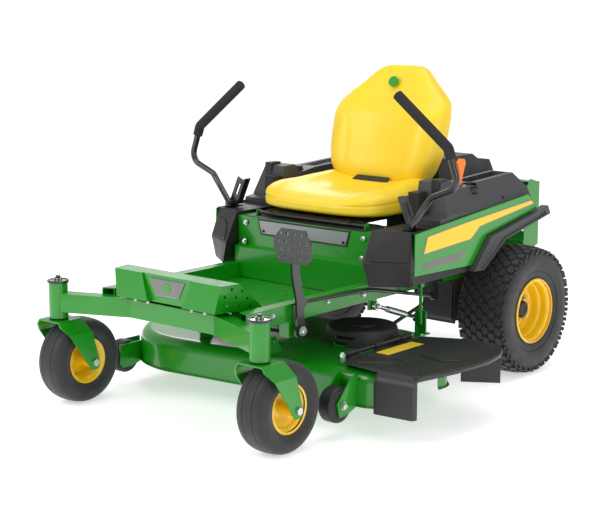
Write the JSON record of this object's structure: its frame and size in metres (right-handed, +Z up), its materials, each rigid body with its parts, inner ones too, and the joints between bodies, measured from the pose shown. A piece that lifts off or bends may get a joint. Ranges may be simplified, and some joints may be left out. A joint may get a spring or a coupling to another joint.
{
  "type": "zero turn mower",
  "caption": "Ride-on zero turn mower with lap bar levers, caster front wheels, bucket seat, belt-driven cutting deck and hinged grass chute.",
  "frame": {"origin": "middle of the overall box at ground level", "axes": "+Z up, the machine faces -Y, +X is the side with the grass chute"},
  "size_m": [1.3436, 1.7567, 1.06],
  "materials": {
    "green_paint": "gloss enamel",
    "yellow_paint": "gloss enamel",
    "black_plastic": "fine textured",
    "grey_plastic": "fine textured",
    "chute_plastic": "smooth moulded",
    "seat_vinyl": "soft vinyl",
    "tyre_rubber": "moulded",
    "zinc": "zinc plated",
    "black_steel": "semi-gloss black",
    "cast_alloy": "as cast, dark",
    "grip_foam": "closed-cell foam",
    "orange_plastic": "moulded",
    "silver_plate": "satin",
    "belt_rubber": "matt",
    "tank_plastic": "moulded",
    "decal_yellow": "printed film",
    "decal_grey": "printed film"
  },
  "bodies": {
    "frame": {"front_beam": "green_paint", "frame_rails": "green_paint", "floor_pan": "green_paint", "footrest": "green_paint", "trim_plates": "silver_plate", "toe_board": "green_paint", "pod_left": "black_plastic", "pod_right": "black_plastic", "side_panel_left": "green_paint", "side_panel_right": "green_paint", "arch_trims": "grey_plastic", "console_left": "grey_plastic", "console_right": "grey_plastic", "fuel_tank": "tank_plastic", "rear_guard": "green_paint", "engine_block": "cast_alloy", "engine_cover": "black_plastic", "muffler": "black_steel", "battery": "black_plastic", "transaxles": "cast_alloy"},
    "caster_left": {"fork_left": "green_paint", "caster_hardware_left": "zinc"},
    "front_wheel_left": {"front_tyre_left": "tyre_rubber", "front_rim_left": "yellow_paint"},
    "rear_wheel_left": {"rear_tyre_left": "tyre_rubber", "rear_rim_left": "yellow_paint", "rear_hub_left": "black_steel"},
    "lever_drive_left": {"lever_bracket_left": "black_steel"},
    "lever_swing_left": {"lever_tube_left": "black_steel", "lever_grip_left": "grip_foam"},
    "blade_left": {"blade_left": "black_steel"},
    "roller_left": {"roller_left": "black_plastic"},
    "caster_right": {"fork_right": "green_paint", "caster_hardware_right": "zinc"},
    "front_wheel_right": {"front_tyre_right": "tyre_rubber", "front_rim_right": "yellow_paint"},
    "rear_wheel_right": {"rear_tyre_right": "tyre_rubber", "rear_rim_right": "yellow_paint", "rear_hub_right": "black_steel"},
    "lever_drive_right": {"lever_bracket_right": "black_steel"},
    "lever_swing_right": {"lever_tube_right": "black_steel", "lever_grip_right": "grip_foam"},
    "blade_right": {"blade_right": "black_steel"},
    "roller_right": {"roller_right": "black_plastic"},
    "lift_pedal": {"lift_pedal": "black_steel"},
    "lift_rod": {"lift_rod": "black_steel"},
    "lift_shaft": {"lift_shaft": "black_steel"},
    "drag_link": {"drag_link": "zinc"},
    "chute": {"chute": "chute_plastic"},
    "engine_pulley": {"engine_pulley": "black_steel"},
    "control_knob": {"control_knob": "black_plastic"},
    "fuel_cap": {"fuel_cap": "black_plastic"},
    "throttle": {"throttle_lever": "orange_plastic"},
    "deck": {"deck_shell": "green_paint", "deck_brackets": "green_paint", "belt_covers": "black_plastic", "deck_belt": "belt_rubber"},
    "seat": {"seat_pan": "black_steel", "seat_cushion": "seat_vinyl", "seat_back": "seat_vinyl"}
  },
  "joints": [
    {"name": "caster_swivel_left", "type": "hinge", "parent": "frame", "child": "caster_left", "pos_m": [0.34675, -0.81765, 0.292], "axis": [0, 0, 1], "continuous": true},
    {"name": "front_wheel_spin_left", "type": "hinge", "parent": "caster_left", "child": "front_wheel_left", "pos_m": [0.34675, -0.73865, 0.1397], "axis": [1, 0, 0], "continuous": true},
    {"name": "rear_wheel_spin_left", "type": "hinge", "parent": "frame", "child": "rear_wheel_left", "pos_m": [0.34975, 0.51635, 0.225], "axis": [1, 0, 0], "continuous": true},
    {"name": "lever_drive_left", "type": "hinge", "parent": "frame", "child": "lever_drive_left", "pos_m": [0.30875, -0.03465, 0.54], "axis": [1, 0, 0], "range_deg": [-12, 10]},
    {"name": "lever_swing_left", "type": "hinge", "parent": "lever_drive_left", "child": "lever_swing_left", "pos_m": [0.30875, -0.04865, 0.578], "axis": [0, 1, 0], "range_deg": [-34, 0]},
    {"name": "blade_spin_left", "type": "hinge", "parent": "deck", "child": "blade_left", "pos_m": [0.16675, -0.16365, 0.104], "axis": [0, 0, 1], "continuous": true},
    {"name": "roller_spin_left", "type": "hinge", "parent": "deck", "child": "roller_left", "pos_m": [0.37675, -0.51365, 0.103], "axis": [1, 0, 0], "continuous": true},
    {"name": "caster_swivel_right", "type": "hinge", "parent": "frame", "child": "caster_right", "pos_m": [-0.52325, -0.81765, 0.292], "axis": [0, 0, 1], "continuous": true},
    {"name": "front_wheel_spin_right", "type": "hinge", "parent": "caster_right", "child": "front_wheel_right", "pos_m": [-0.52325, -0.73865, 0.1397], "axis": [1, 0, 0], "continuous": true},
    {"name": "rear_wheel_spin_right", "type": "hinge", "parent": "frame", "child": "rear_wheel_right", "pos_m": [-0.52625, 0.51635, 0.225], "axis": [1, 0, 0], "continuous": true},
    {"name": "lever_drive_right", "type": "hinge", "parent": "frame", "child": "lever_drive_right", "pos_m": [-0.48525, -0.03465, 0.54], "axis": [1, 0, 0], "range_deg": [-12, 10]},
    {"name": "lever_swing_right", "type": "hinge", "parent": "lever_drive_right", "child": "lever_swing_right", "pos_m": [-0.48525, -0.04865, 0.578], "axis": [0, -1, 0], "range_deg": [-34, 0]},
    {"name": "blade_spin_right", "type": "hinge", "parent": "deck", "child": "blade_right", "pos_m": [-0.34325, -0.22865, 0.104], "axis": [0, 0, 1], "continuous": true},
    {"name": "roller_spin_right", "type": "hinge", "parent": "deck", "child": "roller_right", "pos_m": [-0.55325, -0.51365, 0.103], "axis": [1, 0, 0], "continuous": true},
    {"name": "deck_lift", "type": "slide", "parent": "frame", "child": "deck", "axis": [0, 0, 1], "range_m": [-0.065, 0.012]},
    {"name": "lift_shaft_turn", "type": "hinge", "parent": "frame", "child": "lift_shaft", "pos_m": [-0.08825, 0.18635, 0.368], "axis": [1, 0, 0], "range_deg": [-6.13, 31.44]},
    {"name": "lift_pedal_push", "type": "hinge", "parent": "frame", "child": "lift_pedal", "pos_m": [0.24175, -0.52165, 0.312], "axis": [1, 0, 0], "range_deg": [-23.4, 4.65]},
    {"name": "lift_rod_pivot", "type": "hinge", "parent": "lift_pedal", "child": "lift_rod", "pos_m": [0.23375, -0.50765, 0.397], "axis": [1, 0, 0], "range_deg": [-4.97, 25.15]},
    {"name": "drag_link_pivot", "type": "hinge", "parent": "frame", "child": "drag_link", "pos_m": [0.23575, -0.12865, 0.322], "axis": [1, 0, 0], "range_deg": [-17.25, 3.51]},
    {"name": "engine_pulley_spin", "type": "hinge", "parent": "frame", "child": "engine_pulley", "pos_m": [-0.08825, 0.60635, 0.216], "axis": [0, 0, 1], "continuous": true},
    {"name": "chute_fold", "type": "hinge", "parent": "deck", "child": "chute", "pos_m": [0.31675, -0.22365, 0.223], "axis": [0, -1, 0], "range_deg": [0, 55]},
    {"name": "seat_tilt", "type": "hinge", "parent": "frame", "child": "seat", "pos_m": [-0.08825, -0.07165, 0.567], "axis": [1, 0, 0], "range_deg": [0, 55]},
    {"name": "throttle_push", "type": "hinge", "parent": "frame", "child": "throttle", "pos_m": [0.27975, 0.26635, 0.64], "axis": [1, 0, 0], "range_deg": [-18, 18]},
    {"name": "knob_turn", "type": "hinge", "parent": "frame", "child": "control_knob", "pos_m": [0.30375, 0.30235, 0.662], "axis": [0, 0, 1], "range_deg": [0, 90]},
    {"name": "fuel_cap_turn", "type": "hinge", "parent": "frame", "child": "fuel_cap", "pos_m": [-0.43325, 0.24135, 0.686], "axis": [0, 0, 1], "range_deg": [0, 90]}
  ],
  "couplings": [
    {"joint": "lift_shaft_turn", "follows": "deck_lift", "rad_per_m": -8.3333},
    {"joint": "lift_pedal_push", "follows": "deck_lift", "rad_per_m": 6.1765},
    {"joint": "lift_rod_pivot", "follows": "deck_lift", "rad_per_m": -6.6465},
    {"joint": "drag_link_pivot", "follows": "deck_lift", "rad_per_m": 4.5249},
    {"joint": "blade_spin_left", "follows": "engine_pulley_spin", "ratio": 0.86667},
    {"joint": "blade_spin_right", "follows": "engine_pulley_spin", "ratio": 0.86667}
  ]
}
